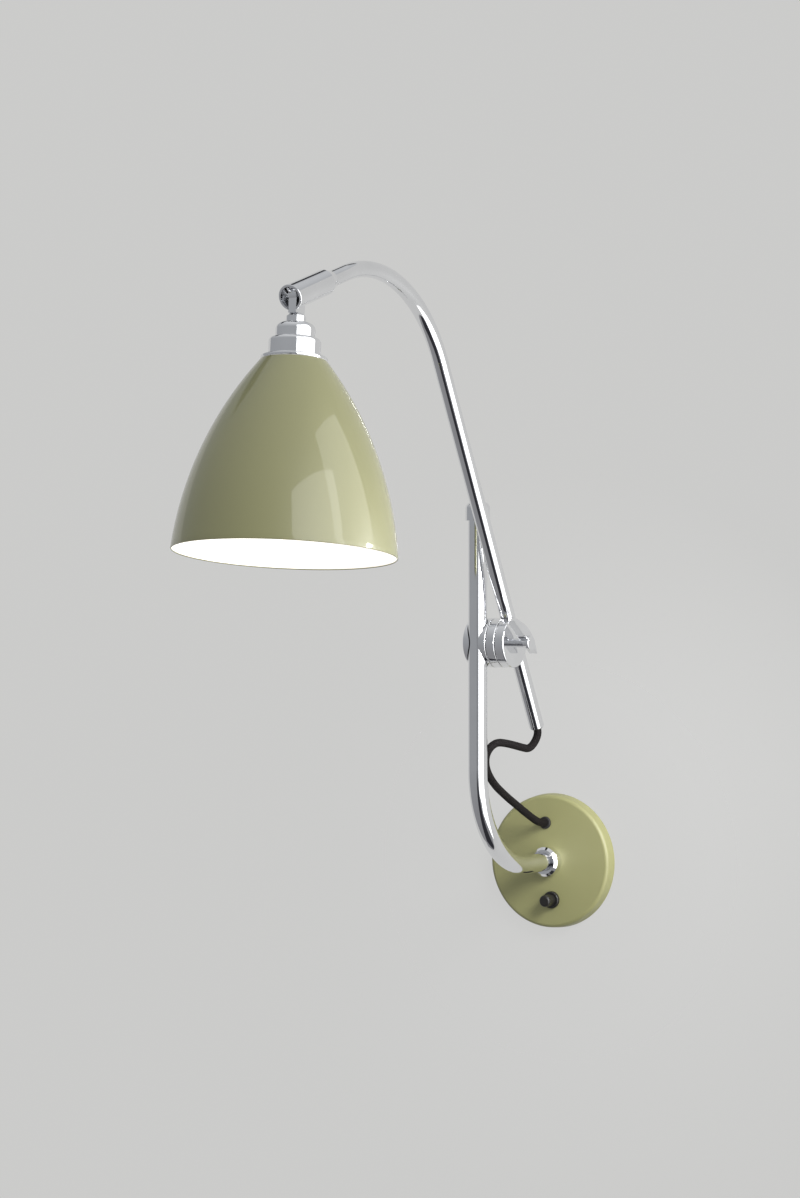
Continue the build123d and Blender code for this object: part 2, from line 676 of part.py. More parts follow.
def stem():
    spigot_end = GALLERY_TOP + SPIGOT_LENGTH
    neck = turned(
        (0, -NECK_TOP),
        (NECK_RADIUS - NECK_CHAMFER, -NECK_TOP),
        (NECK_RADIUS, -NECK_TOP - NECK_CHAMFER),
        (NECK_RADIUS, -GALLERY_TOP),
        (SPIGOT_RADIUS, -GALLERY_TOP),
        (SPIGOT_RADIUS, -spigot_end),
        (0, -spigot_end),
    )
    neck -= disc(STEM_BORE_RADIUS, -spigot_end, -HEAD_FLEX_TOP)
    half_width, half_thick = TONGUE_WIDTH / 2, TONGUE_THICK / 2
    tongue = box((-half_thick, half_thick), (-half_width, half_width), (-NECK_TOP, 0))
    eye = Rot(0, 90, 0) * Cylinder(EYE_RADIUS, TONGUE_THICK)
    hole = Rot(0, 90, 0) * Cylinder(PIN_RADIUS + RUN_FIT, TONGUE_THICK)
    return HEAD * (neck + tongue + eye - hole)


def gallery_form(inset):
    """The stepped cup's outside, or its inside where it is drawn in by the wall."""
    ledge = LEDGE_TOP + (GALLERY_LEDGE if inset else 0)
    one, two = STEP_ONE_RADIUS - inset, STEP_TWO_RADIUS - inset
    solid = disc(one, -ledge, -GALLERY_TOP - inset)
    round_off = max(GALLERY_SHOULDER - inset, PLATE_INNER_ROUND)
    solid = fillet(circles(solid, one)[-1:], round_off)
    step = disc(two, -GALLERY_BASE, -ledge)
    if not inset:
        step = fillet(circles(step, two)[-1:], GALLERY_EDGE)
    return solid + step


def gallery():
    cup = gallery_form(0) - gallery_form(GALLERY_WALL)
    return HEAD * (cup - disc(SPIGOT_RADIUS + HOLE_FIT, -LEDGE_TOP, -GALLERY_TOP))


def gallery_nut():
    top = -GALLERY_TOP - GALLERY_WALL
    levels = (top - GALLERY_NUT_HEIGHT, top)
    return HEAD * (hexagon(GALLERY_NUT_ACROSS, *levels) - disc(SPIGOT_RADIUS + RUN_FIT, *levels))


def flange_ring():
    rim = disc(FLANGE_RADIUS, -SHADE_TOP, -GALLERY_BASE)
    rim = fillet(circles(rim, FLANGE_RADIUS), FLANGE_ROUND)
    return HEAD * (rim - disc(HOLDER_RADIUS + SLIDE_GAP, -SHADE_TOP, -GALLERY_BASE))


def bell_radius(depth, inset):
    """Radius of the shade's wall at a depth; its profile is one arc from top edge to rim."""
    across = SHADE_RIM_RADIUS - SHADE_TOP_RADIUS
    chord = sqrt(across**2 + SHADE_HEIGHT**2)
    reach = sqrt(SHADE_ARC_RADIUS**2 - (chord / 2) ** 2)
    centre_radius = (SHADE_RIM_RADIUS + SHADE_TOP_RADIUS) / 2 - reach * SHADE_HEIGHT / chord
    centre_depth = (SHADE_TOP + SHADE_RIM) / 2 + reach * across / chord
    return centre_radius + sqrt((SHADE_ARC_RADIUS - inset) ** 2 - (depth - centre_depth) ** 2)


def bell_arc(top, inset):
    depths = (top, (top + SHADE_RIM) / 2, SHADE_RIM)
    return ThreePointArc(*[(bell_radius(depth, inset), -depth) for depth in depths])


def shade():
    bore = HOLDER_RADIUS + SLIDE_GAP
    under = SHADE_TOP + SHADE_WALL
    outer, inner = bell_arc(SHADE_TOP, 0), bell_arc(under, SHADE_WALL)
    edges = [
        outer,
        Line(outer @ 1, inner @ 1),
        inner,
        Line(inner @ 0, (bore, -under)),
        Line((bore, -under), (bore, -SHADE_TOP)),
        Line((bore, -SHADE_TOP), outer @ 0),
    ]
    return HEAD * revolve(Plane.XZ * make_face(edges), axis=Axis.Z)


def lampholder():
    body = disc(HOLDER_RADIUS, -HOLDER_DEPTH, -HOLDER_SEAT)
    body += disc(HOLDER_NOSE_RADIUS, -HOLDER_SEAT, -HOLDER_TOP)
    return HEAD * (body - disc(HOLDER_BORE_RADIUS, -HOLDER_DEPTH, -HOLDER_BORE_TOP))


def shade_ring():
    top = SHADE_TOP + SHADE_WALL
    return HEAD * ring(SHADE_RING_RADIUS, HOLDER_RADIUS + HOLE_FIT, -top - SHADE_RING_HEIGHT, -top)


def head_flex():
    return HEAD * disc(HEAD_FLEX_RADIUS, -HOLDER_TOP, -HEAD_FLEX_TOP)


def bulb_cap():
    outer = HOLDER_BORE_RADIUS - SLIDE_GAP
    top = HOLDER_BORE_TOP + PLAY
    shell = disc(outer, -HOLDER_DEPTH, -top)
    return HEAD * (shell - disc(outer - BULB_CAP_WALL, -HOLDER_DEPTH, -top - BULB_CAP_WALL))


def bulb_form(inset):
    middle = HOLDER_DEPTH + BULB_LENGTH - BULB_BALL_RADIUS
    seam_radius = sqrt(BULB_BALL_RADIUS**2 - BULB_SEAM_HEIGHT**2)
    neck = turned(
        (0, -HOLDER_DEPTH),
        (BULB_NECK_RADIUS - inset, -HOLDER_DEPTH),
        (seam_radius - inset, BULB_SEAM_HEIGHT - middle),
        (0, BULB_SEAM_HEIGHT - middle),
    )
    return neck + Pos(0, 0, -middle) * Sphere(BULB_BALL_RADIUS - inset)


def bulb_glass():
    return HEAD * (bulb_form(0) - bulb_form(BULB_WALL))


# Free cord, one smooth route cut into stretches that meet face to face

def cord_route():
    arm_end, arm_exit = [ARM.from_local_coords((0, 0, BUSH_FACE - out)) for out in (0, CORD_ARM_EXIT)]
    hole = entry(GROMMET_ANGLE).position + Vector(0, 0, PLATE_DEPTH + GROMMET_FLANGE)
    plate_exit = PLATE.from_local_coords(hole + Vector(0, 0, CORD_PLATE_EXIT))
    step = (plate_exit - arm_exit) / (len(CORD_BOWS) + 1)
    between = [arm_exit + step * number + Vector(*bow) for number, bow in enumerate(CORD_BOWS, 1)]
    return [arm_end, arm_exit, *between, plate_exit, PLATE.from_local_coords(hole)]


def cord_radii(route):
    """The arc at each inner point of the route, as large as its two runs allow."""
    radii = []
    for before, here, after in zip(route, route[1:], route[2:]):
        turn = (here - before).get_angle(after - here)
        shorter = min((here - before).length, (after - here).length)
        radii.append(CORD_ARC_RATIO * shorter / tan(radians(turn / 2)))
    return radii


def cord_stretches():
    """Each stretch ends in the middle of a run, and the last one at the plate."""
    route = cord_route()
    radii = cord_radii(route)
    stretches = {}
    start, first = route[0], 1
    for name, corners in CORD_CORNER_COUNT.items():
        after = first + corners
        end = route[-1] if after == len(route) - 1 else (route[after - 1] + route[after]) / 2
        path = FilletPolyline(start, *route[first:after], end, radius=radii[first - 1:after - 1])
        stretches[name] = pipe(path, CORD_RADIUS)
        print(name, "length", round(path.length, 1))
        start, first = end, after
    return stretches


PIECES = [
    wall_bracket,
    wall_plate,
    plate_set_screw,
    earth_screw,
    support_tube,
    tube_collar,
    tube_washer,
    tube_lock_nut,
    tube_cap,
    cord_grommet,
    flex_tail,
    cord_stop,
    terminal_block,
    terminal_screws,
    supply_leads,
    switch_leads,
    switch_body,
    switch_bezel,
    switch_button,
    tube_jaw_outer,
    tube_jaw_inner,
    clamp_nut,
    tube_liner,
    friction_washer,
    arm_jaw_inner,
    arm_jaw_outer,
    arm_liner,
    clamp_screw,
    wing,
    arm_tube,
    arm_bush,
    arm_flex,
    knuckle_sleeve,
    pivot_pin,
    swivel_screw,
    stem,
    gallery,
    gallery_nut,
    flange_ring,
    shade,
    lampholder,
    shade_ring,
    head_flex,
    bulb_cap,
    bulb_glass,
]

solids = {piece.__name__: piece() for piece in PIECES}
solids.update(cord_stretches())

os.makedirs("parts", exist_ok=True)
for name, solid in solids.items():
    export_step(solid, f"parts/{name}.step")
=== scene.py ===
import json
from math import cos, pi, radians, sin, sqrt

import bmesh
import bpy
from mathutils import Matrix, Vector


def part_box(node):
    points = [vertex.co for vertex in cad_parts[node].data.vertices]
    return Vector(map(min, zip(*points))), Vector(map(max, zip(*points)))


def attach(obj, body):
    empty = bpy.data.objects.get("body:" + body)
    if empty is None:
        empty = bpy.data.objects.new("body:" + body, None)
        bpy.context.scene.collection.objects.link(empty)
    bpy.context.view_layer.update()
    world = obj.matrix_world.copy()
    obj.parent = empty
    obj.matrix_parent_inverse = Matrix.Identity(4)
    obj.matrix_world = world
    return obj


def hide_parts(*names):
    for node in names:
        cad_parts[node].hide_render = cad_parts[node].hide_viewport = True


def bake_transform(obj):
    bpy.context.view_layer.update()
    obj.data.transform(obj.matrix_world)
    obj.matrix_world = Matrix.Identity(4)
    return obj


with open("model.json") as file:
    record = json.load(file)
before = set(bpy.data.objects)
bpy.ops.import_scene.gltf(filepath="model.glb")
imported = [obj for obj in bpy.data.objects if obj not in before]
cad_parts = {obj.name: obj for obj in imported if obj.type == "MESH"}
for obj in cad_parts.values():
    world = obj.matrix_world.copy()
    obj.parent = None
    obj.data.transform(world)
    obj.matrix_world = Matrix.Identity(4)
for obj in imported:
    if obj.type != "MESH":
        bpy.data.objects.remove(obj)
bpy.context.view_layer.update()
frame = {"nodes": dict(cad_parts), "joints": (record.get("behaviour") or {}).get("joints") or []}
scene = bpy.context.scene


# The camera stands level, to the right of the plate and about halfway up the light. A long
# lens keeps the tubes nearly parallel.
PHOTO_SIZE = (800, 1198)
FOCAL_PIXELS = 2900.0
SENSOR = 36.0
VIEW_AZIMUTH = radians(31.078)
CAMERA_PLACE = Vector((1.1196, -2.1035, 0.2143))

lens = bpy.data.cameras.new("camera")
lens.sensor_width = SENSOR
lens.lens = FOCAL_PIXELS * SENSOR / max(PHOTO_SIZE)
lens.clip_end = 50.0
camera = bpy.data.objects.new("camera", lens)
level_view = Matrix.Rotation(VIEW_AZIMUTH, 4, "Z") @ Matrix.Rotation(pi / 2, 4, "X")
camera.matrix_world = Matrix.Translation(CAMERA_PLACE) @ level_view
scene.collection.objects.link(camera)
scene.camera = camera
scene.view_settings.view_transform = "Standard"


# The wall is a plain painted surface behind the plate, with a faint roller texture. To the eye
# it melts into the pale room away from the plate, and from behind it lets the view through, so
# that it doesn't hide a head that is turned past it.
WALL_HALF = 6.0           # half its width
WALL_TOP = 0.80           # its upper edge, above the plate's middle
WALL_COLOUR = (0.622, 0.622, 0.614, 1.0)
WALL_GLOW = 0.92          # share of the wall's tone that is even, whatever the light
WALL_NEAR = 0.14          # distances from the plate's middle between which it melts away
WALL_FAR = 0.32
CREASE = radians(32)      # edges that turn more than this stay sharp


class Value:
    """A shader value that takes part in plain arithmetic."""

    def __init__(self, finish, socket):
        self.finish = finish
        self.socket = socket

    def math(self, operation, first, second=0.0, clamp=False):
        settings = {"operation": operation, "use_clamp": clamp}
        return self.finish.node("ShaderNodeMath", settings, {0: first, 1: second})

    def __add__(self, other):
        return self.math("ADD", self, other)

    def __radd__(self, other):
        return self.math("ADD", other, self)

    def __sub__(self, other):
        return self.math("SUBTRACT", self, other)

    def __rsub__(self, other):
        return self.math("SUBTRACT", other, self)

    def __mul__(self, other):
        return self.math("MULTIPLY", self, other)

    def __rmul__(self, other):
        return self.math("MULTIPLY", other, self)

    def __neg__(self):
        return self.math("MULTIPLY", self, -1.0)

    def __abs__(self):
        return self.math("ABSOLUTE", self)

    def clamped(self):
        return self.math("ADD", self, 0.0, clamp=True)


class Finish:
    """A material, or the world, whose nodes are added one call at a time."""

    def __init__(self, owner):
        owner.use_nodes = True
        self.owner = owner
        self.tree = owner.node_tree

    def node(self, kind, settings=None, sockets=None, output=0):
        made = self.tree.nodes.new(kind)
        for name, value in (settings or {}).items():
            setattr(made, name, value)
        self.feed(made, sockets or {})
        return Value(self, made.outputs[output])

    def feed(self, node, sockets):
        for name, value in sockets.items():
            if isinstance(value, Value):
                self.tree.links.new(value.socket, node.inputs[name])
            else:
                node.inputs[name].default_value = value

    def place(self, kind="Object"):
        return self.node("ShaderNodeTexCoord", output=kind)

    def noise(self, scale, detail):
        sockets = {"Vector": self.place(), "Scale": scale, "Detail": detail}
        return self.node("ShaderNodeTexNoise", None, sockets)

    def parts(self, vector):
        """The three numbers of a vector."""
        first = self.node("ShaderNodeSeparateXYZ", None, {0: vector})
        return [Value(self, socket) for socket in first.socket.node.outputs]

    def blend(self, factor, first, second):
        """A colour between two colours."""
        settings = {"data_type": "RGBA"}
        return self.node("ShaderNodeMix", settings, {0: factor, 6: first, 7: second}, output=2)

    def bump(self, height, strength, distance):
        sockets = {"Strength": strength, "Distance": distance, "Height": height}
        return self.node("ShaderNodeBump", None, sockets)

    def principled(self, sockets):
        self.feed(self.tree.nodes["Principled BSDF"], sockets)
        return self.owner


def new_finish(name):
    return Finish(bpy.data.materials.new(name))


def finished_mesh(name, work, materials):
    """An object at the origin from a bmesh, smooth except across its sharp edges."""
    mesh = bpy.data.meshes.new(name)
    work.to_mesh(mesh)
    work.free()
    mesh.shade_smooth()
    mesh.set_sharp_from_angle(angle=CREASE)
    for material in materials:
        mesh.materials.append(material)
    made = bpy.data.objects.new(name, mesh)
    scene.collection.objects.link(made)
    return made


def wall_paint():
    """Matt paint that keeps an even tone to the eye and takes a soft shadow."""
    paint = new_finish("wall_paint")
    roller = paint.bump(paint.noise(scale=220.0, detail=4.0), strength=0.05, distance=0.001)
    paint.principled(
        {
            "Base Color": WALL_COLOUR,
            "Roughness": 0.8,
            "Specular IOR Level": 0.2,
            "Normal": roller,
        }
    )
    lit = Value(paint, paint.tree.nodes["Principled BSDF"].outputs[0])
    rays = paint.node("ShaderNodeLightPath").socket.node.outputs
    to_eye = Value(paint, rays["Is Camera Ray"])
    seen = to_eye + Value(paint, rays["Is Glossy Ray"]) + Value(paint, rays["Is Transmission Ray"])
    even = paint.node("ShaderNodeEmission", None, {"Color": WALL_COLOUR})
    front = paint.node("ShaderNodeMixShader", None, {0: seen * WALL_GLOW, 1: lit, 2: even})
    clear = paint.node("ShaderNodeBsdfTransparent")
    behind = paint.node("ShaderNodeNewGeometry", output="Backfacing")
    length = {"operation": "LENGTH"}
    distance = paint.node("ShaderNodeVectorMath", length, {0: paint.place()}, output="Value")
    melted = ((distance - WALL_NEAR) * (1 / (WALL_FAR - WALL_NEAR))).clamped()
    hidden = (behind + melted * to_eye).clamped()
    mixed = paint.node("ShaderNodeMixShader", None, {0: hidden, 1: front, 2: clear})
    paint.feed(paint.tree.nodes["Material Output"], {"Surface": mixed})
    return paint.owner


work = bmesh.new()
bmesh.ops.create_grid(work, x_segments=1, y_segments=1, size=WALL_HALF)
bmesh.ops.rotate(work, verts=work.verts, matrix=Matrix.Rotation(pi / 2, 3, "X"))
bmesh.ops.translate(work, verts=work.verts, vec=(0, 0, WALL_TOP - WALL_HALF))
wall = finished_mesh("wall", work, [wall_paint()])


# A large soft box stands to the right, a panel beside the light shows only in what shines, and
# a small box lights the plate. The room is grey, with a pale ceiling, a darker floor, and a dark
# gap in front and corner above the wall that draw the thin lines along the plated tubes.
LIGHT_MIDDLE = Vector((0.0, -0.25, 0.25))
PLATE_MIDDLE = Vector((0.0, -0.01, 0.0))
ROOM_SIDE = (0.33, 0.34, 0.355, 1.0)
ROOM_CEILING = (0.70, 0.71, 0.72, 1.0)
ROOM_FLOOR = (0.26, 0.26, 0.27, 1.0)
ROOM_DARK = (0.03, 0.03, 0.035, 1.0)
PALE_ROOM = (0.60, 0.60, 0.592, 1.0)   # what the camera sees in place of the room
FLOOR_FADE = 1.4          # how soon the sides give way to the floor
GAP_AZIMUTH = radians(22)
GAP_TOP = 0.10            # levels and widths are on a ball of radius 1
GAP_HALF_WIDTH = 0.04
GAP_SPREAD = 0.35         # the gap widens by this towards the floor
CORNER_LOW = 0.58
CORNER_HIGH = 0.76
EDGE = 24.0               # how sharply the dark parts begin


def soft_box(name, target, azimuth, elevation, distance, size, radiance, only_shine=False):
    """A lit rectangle that faces its target, unseen itself; it may show only in what shines."""
    lamp = bpy.data.lights.new(name, "AREA")
    lamp.shape = "RECTANGLE"
    lamp.size, lamp.size_y = size
    lamp.energy = radiance * pi * size[0] * size[1]
    holder = bpy.data.objects.new(name, lamp)
    level = Vector((sin(azimuth), -cos(azimuth), 0.0)) * cos(elevation)
    holder.location = target + (level + Vector((0, 0, sin(elevation)))) * distance
    holder.rotation_euler = (target - holder.location).to_track_quat("-Z", "Y").to_euler()
    holder.visible_camera = False
    holder.visible_diffuse = not only_shine
    scene.collection.objects.link(holder)


def beyond(value):
    """Rises quickly from 0 to 1 where a value passes zero."""
    return (value * EDGE).clamped()


soft_box(
    "key_box",
    LIGHT_MIDDLE,
    azimuth=radians(67),
    elevation=radians(6),
    distance=3.2,
    size=(3.1, 4.8),
    radiance=2.0,
)
soft_box(
    "side_panel",
    LIGHT_MIDDLE,
    azimuth=radians(90),
    elevation=0.0,
    distance=0.5,
    size=(0.48, 1.4),
    radiance=1.6,
    only_shine=True,
)
soft_box(
    "plate_box",
    PLATE_MIDDLE,
    azimuth=radians(55),
    elevation=radians(28),
    distance=0.50,
    size=(0.16, 0.16),
    radiance=26.0,
)

room = Finish(bpy.data.worlds.new("room"))
scene.world = room.owner
east, inward, up = room.parts(room.place("Generated"))
surround = room.blend(up.clamped() * up.clamped(), ROOM_SIDE, ROOM_CEILING)
surround = room.blend((up * -FLOOR_FADE).clamped(), surround, ROOM_FLOOR)
ahead = east * sin(GAP_AZIMUTH) - inward * cos(GAP_AZIMUTH)
aside = abs(east * cos(GAP_AZIMUTH) + inward * sin(GAP_AZIMUTH))
half_width = GAP_HALF_WIDTH + (up * -GAP_SPREAD).clamped()
gap = beyond(half_width - aside) * beyond(ahead) * beyond(GAP_TOP - up)
corner = beyond(up - CORNER_LOW) * beyond(CORNER_HIGH - up) * beyond(inward) * beyond(-east)
surround = room.blend((gap + corner).clamped(), surround, ROOM_DARK)
to_camera = room.node("ShaderNodeLightPath", output="Is Camera Ray")
seen_colour = room.blend(to_camera, surround, PALE_ROOM)
room.feed(room.tree.nodes["Background"], {"Color": seen_colour, "Strength": 1.0})


# A round bracket of zinc plated steel is screwed to the wall. Its lugs take the screw that
# locks the plate, and the earth screw and the nut on the tube are of the same steel.
ZINC_DULL = (0.42, 0.43, 0.44, 1.0)
ZINC_BRIGHT = (0.62, 0.63, 0.64, 1.0)


def dress(material, *names):
    """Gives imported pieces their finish."""
    for name in names:
        for slot in frame["nodes"][name].material_slots:
            slot.material = material


def zinc_plate():
    """Zinc plate, with the crystal pattern of its coat in tone and dullness."""
    zinc = new_finish("zinc_plate")
    cells = {"Vector": zinc.place(), "Scale": 160.0}
    spangle = zinc.parts(zinc.node("ShaderNodeTexVoronoi", None, cells, output="Color"))[0]
    grain = zinc.noise(scale=900.0, detail=3.0)
    return zinc.principled(
        {
            "Base Color": zinc.blend(spangle, ZINC_DULL, ZINC_BRIGHT),
            "Metallic": 1.0,
            "Roughness": 0.28 + 0.2 * spangle,
            "Normal": zinc.bump(grain, strength=0.08, distance=0.0002),
        }
    )


zinc = zinc_plate()
dress(zinc, "wall_bracket", "plate_set_screw", "earth_screw", "tube_washer", "tube_lock_nut")


# Behind the plate the flex ends in a stop ring, and its leads run to a small nylon terminal
# block with brass screws and on to the switch.
NYLON = (0.66, 0.63, 0.55, 1.0)
LEAD_BLUE = (0.035, 0.07, 0.19, 1.0)
BLACK = (0.013, 0.012, 0.011, 1.0)
GRAIN_SHADE = 0.75        # share of its colour that plastic keeps where its grain is deep
BRASS_DULL = (0.50, 0.33, 0.12, 1.0)
BRASS_BRIGHT = (0.72, 0.52, 0.23, 1.0)


def shaded(colour, share):
    """A colour made darker or lighter by a share."""
    return (*(share * part for part in colour[:3]), 1.0)


def moulded_plastic(name, colour, roughness):
    """Moulded plastic with a fine grain, a little darker and glossier where the grain is deep."""
    plastic = new_finish(name)
    grain = plastic.noise(scale=2400.0, detail=3.0)
    return plastic.principled(
        {
            "Base Color": plastic.blend(grain, shaded(colour, GRAIN_SHADE), colour),
            "Roughness": roughness + 0.15 * grain,
            "Normal": plastic.bump(grain, strength=0.12, distance=0.0001),
        }
    )


def plain_brass():
    """Turned brass, warm and a little tarnished in patches."""
    brass = new_finish("plain_brass")
    tarnish = brass.noise(scale=320.0, detail=4.0)
    return brass.principled(
        {
            "Base Color": brass.blend(tarnish, BRASS_DULL, BRASS_BRIGHT),
            "Metallic": 1.0,
            "Roughness": 0.2 + 0.2 * tarnish,
            "Normal": brass.bump(tarnish, strength=0.05, distance=0.0001),
        }
    )


nylon = moulded_plastic("natural_nylon", NYLON, roughness=0.42)
sheath = moulded_plastic("flex_sheath", BLACK, roughness=0.5)
brass = plain_brass()
dress(nylon, "terminal_block", "cord_stop")
dress(moulded_plastic("lead_cover", LEAD_BLUE, roughness=0.4), "supply_leads", "switch_leads")
dress(brass, "terminal_screws")
dress(sheath, "flex_tail")


# The wall plate is a shallow pressed dish with a rounded edge, sprayed sage green. Its paint
# is a satin one, with the faint dimples that a sprayed coat dries with.
SAGE = (0.280, 0.275, 0.118)
SAGE_DRIFT = 0.05         # how far the sprayed tone drifts, up and down


def sage_paint(name, roughness, gloss):
    """Sprayed enamel: slow drifts of tone, fine dimples, and a clear gloss where asked for."""
    paint = new_finish(name)
    drift = paint.noise(scale=14.0, detail=2.0)
    dimples = paint.noise(scale=520.0, detail=2.0)
    thin, full = shaded(SAGE, 1 - SAGE_DRIFT), shaded(SAGE, 1 + SAGE_DRIFT)
    return paint.principled(
        {
            "Base Color": paint.blend(drift, thin, full),
            "Roughness": roughness + 0.08 * dimples,
            "Specular IOR Level": 0.8,
            "Coat Weight": gloss,
            "Coat Roughness": 0.05,
            "Normal": paint.bump(dimples, strength=0.04, distance=0.0003),
        }
    )


dress(sage_paint("satin_sage", roughness=0.45, gloss=0.0), "wall_plate")


# The support tube comes out of the plate through a turned collar and bends up to a rounded
# cap. All three are polished steel under chrome plate.
CHROME_DULL = (0.78, 0.785, 0.80, 1.0)
CHROME_BRIGHT = (0.88, 0.885, 0.90, 1.0)


def chrome_plate():
    """Bright chrome plate, with a handling haze and the last fine lines of its polish."""
    chrome = new_finish("chrome_plate")
    haze = chrome.noise(scale=45.0, detail=3.0)
    polish = chrome.noise(scale=1400.0, detail=2.0)
    return chrome.principled(
        {
            "Base Color": chrome.blend(haze, CHROME_DULL, CHROME_BRIGHT),
            "Metallic": 1.0,
            "Roughness": 0.03 + 0.05 * haze + 0.03 * polish,
            "Normal": chrome.bump(polish, strength=0.02, distance=0.0001),
        }
    )


chrome = chrome_plate()
dress(chrome, "support_tube", "tube_collar", "tube_cap")


# A rubber grommet guards the flex where it enters the plate. Below the tube a push switch
# stands in a round bezel; both are black and the button moves in and out.
grommet_rubber = moulded_plastic("grommet_rubber", BLACK, roughness=0.55)
switch_black = moulded_plastic("switch_black", BLACK, roughness=0.28)
dress(grommet_rubber, "cord_grommet")
dress(switch_black, "switch_body", "switch_bezel", "switch_button")


# Four turned jaws on one screw make the clamp: two grip the support tube and two the arm. A
# fibre washer lies between the pairs, and nylon liners let both tubes slide.
FIBRE = (0.05, 0.045, 0.04, 1.0)

dress(chrome, "tube_jaw_outer", "tube_jaw_inner", "arm_jaw_inner", "arm_jaw_outer")
dress(moulded_plastic("washer_fibre", FIBRE, roughness=0.6), "friction_washer")
dress(nylon, "tube_liner", "arm_liner")
dress(zinc, "clamp_nut")


# The half-moon wing is a cast plate on the clamp's screw, and its boss stands it off the outer
# jaw. The screw's flat round head holds it on, and all of it is plated.
dress(chrome, "clamp_screw", "wing")


# The arm is a plated tube, straight through the clamp and hooked over at its top. A black
# bush closes its lower end round the flex that runs inside it.
dress(chrome, "arm_tube")
dress(moulded_plastic("bush_black", BLACK, roughness=0.4), "arm_bush")
dress(sheath, "arm_flex")


# The free flex is a round black cord in a close textile braid, from the bush at the arm's lower
# end to the grommet in the plate. It is one smooth run, cut into stretches where it passes from
# joint to joint.
MM = 0.001
CORD_DIAMETER = 6.2 * MM
BUSH_FACE = 85.4 * MM     # along the arm, from the middle of its clamp
CORD_ARM_EXIT = 4 * MM    # the cord leaves the bush straight for this far
CORD_PLATE_EXIT = 8 * MM  # and the grommet for this far
# Points between the two exits, in millimetres off the straight line that joins them.
CORD_BOWS = [
    (-1, -4, -1),
    (-1, -14, 0),
    (0, -28, 8),
    (-2, -47, 18),
    (-5, -63, 26),
    (-8, -73, 24),
    (-10, -71, 18),
    (-9, -60, 11),
    (-8, -41, 6),
    (-6, -29, 5),
    (-4, -15, 3),
]
CORD_STEPS = 16
CORD_SIDES = 24
BRAID_STRANDS = 8
BRAID_PITCH = 420.0       # crossings in a metre
BRAID_DARK = (0.005, 0.004, 0.004, 1.0)
BRAID_PALE = (0.012, 0.010, 0.010, 1.0)
# Each stretch: its node, the route's point before its end, and the two bodies that it joins.
CORD_STRETCHES = [
    ("cord_arm_end", 4, "arm", "arm_turner"),
    ("cord_loop", 7, "arm_turner", "arm_clamp"),
    ("cord_bend", 9, "arm_clamp", "tube_clamp"),
    ("cord_rise", 11, "tube_clamp", "tube_slider"),
    ("cord_plate_end", None, "tube_slider", "base"),
]

joints = {joint["name"]: joint for joint in frame["joints"]}


def cord_route():
    """The points that shape the cord's line, from the arm's bush to the plate's grommet."""
    clamp = joints["arm_turn"]
    down = -Vector(clamp["axis"])
    arm_end = Vector(clamp["pos_m"]) + down * BUSH_FACE
    arm_exit = arm_end + down * CORD_ARM_EXIT
    low, high = [Vector(corner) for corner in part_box("cord_grommet")]
    plate_end = Vector(((low.x + high.x) / 2, low.y, (low.z + high.z) / 2))
    plate_exit = plate_end - Vector((0, CORD_PLATE_EXIT, 0))
    step = (plate_exit - arm_exit) / (len(CORD_BOWS) + 1)
    between = [arm_exit + step * number + Vector(bow) * MM for number, bow in enumerate(CORD_BOWS, 1)]
    return [arm_end, arm_exit, *between, plate_exit, plate_end]


def cord_line(route):
    """Points along the smooth line that the route's points control."""
    curve = bpy.data.curves.new("cord_route", "CURVE")
    curve.dimensions = "3D"
    curve.resolution_u = CORD_STEPS
    spline = curve.splines.new("NURBS")
    spline.points.add(len(route) - 1)
    for point, place in zip(spline.points, route):
        point.co = (*place, 1.0)
    spline.order_u = 3
    spline.use_endpoint_u = True
    holder = bpy.data.objects.new("cord_route", curve)
    scene.collection.objects.link(holder)
    line = bpy.data.meshes.new_from_object(holder)
    points = [vertex.co.copy() for vertex in line.vertices]
    bpy.data.objects.remove(holder)
    bpy.data.curves.remove(curve)
    bpy.data.meshes.remove(line)
    return points


def cord_directions(points):
    """Where the line heads at each of its points."""
    ahead = points[1:] + [points[-1] * 2 - points[-2]]
    behind = [points[0] * 2 - points[1]] + points[:-1]
    return [(after - before).normalized() for after, before in zip(ahead, behind)]


def nearest(points, place):
    """The number of the point that lies closest to a place."""
    return min(range(len(points)), key=lambda number: (points[number] - place).length)


def cord_tube(name, points, directions, start_length, material):
    """A round tube along some points, with a UV map in turns round it and metres along it."""
    work = bmesh.new()
    layer = work.loops.layers.uv.new("along")
    rings = []
    lengths = [start_length]
    side = directions[0].orthogonal().normalized()
    for index, (point, direction) in enumerate(zip(points, directions)):
        side = (side - direction * side.dot(direction)).normalized()
        stand = Matrix((side, direction.cross(side), direction)).transposed().to_4x4()
        stand.translation = point
        made = bmesh.ops.create_circle(
            work, cap_ends=False, segments=CORD_SIDES, radius=CORD_DIAMETER / 2, matrix=stand
        )
        rings.append(made["verts"])
        if index:
            lengths.append(lengths[-1] + (point - points[index - 1]).length)
    for index in range(len(rings) - 1):
        edges = [
            edge
            for ring in rings[index : index + 2]
            for edge in {edge for vertex in ring for edge in vertex.link_edges}
            if all(vertex in ring for vertex in edge.verts)
        ]
        bmesh.ops.bridge_loops(work, edges=edges)
    numbers = {
        vertex: (turn, ring)
        for ring, vertices in enumerate(rings)
        for turn, vertex in enumerate(vertices)
    }
    for face in work.faces:
        turns = [numbers[loop.vert][0] for loop in face.loops]
        seam = max(turns) - min(turns) > CORD_SIDES / 2
        for loop in face.loops:
            turn, ring = numbers[loop.vert]
            turn += CORD_SIDES if seam and turn == 0 else 0
            loop[layer].uv = (turn / CORD_SIDES, lengths[ring])
    bmesh.ops.recalc_face_normals(work, faces=work.faces)
    return finished_mesh(name, work, [material]), lengths[-1]


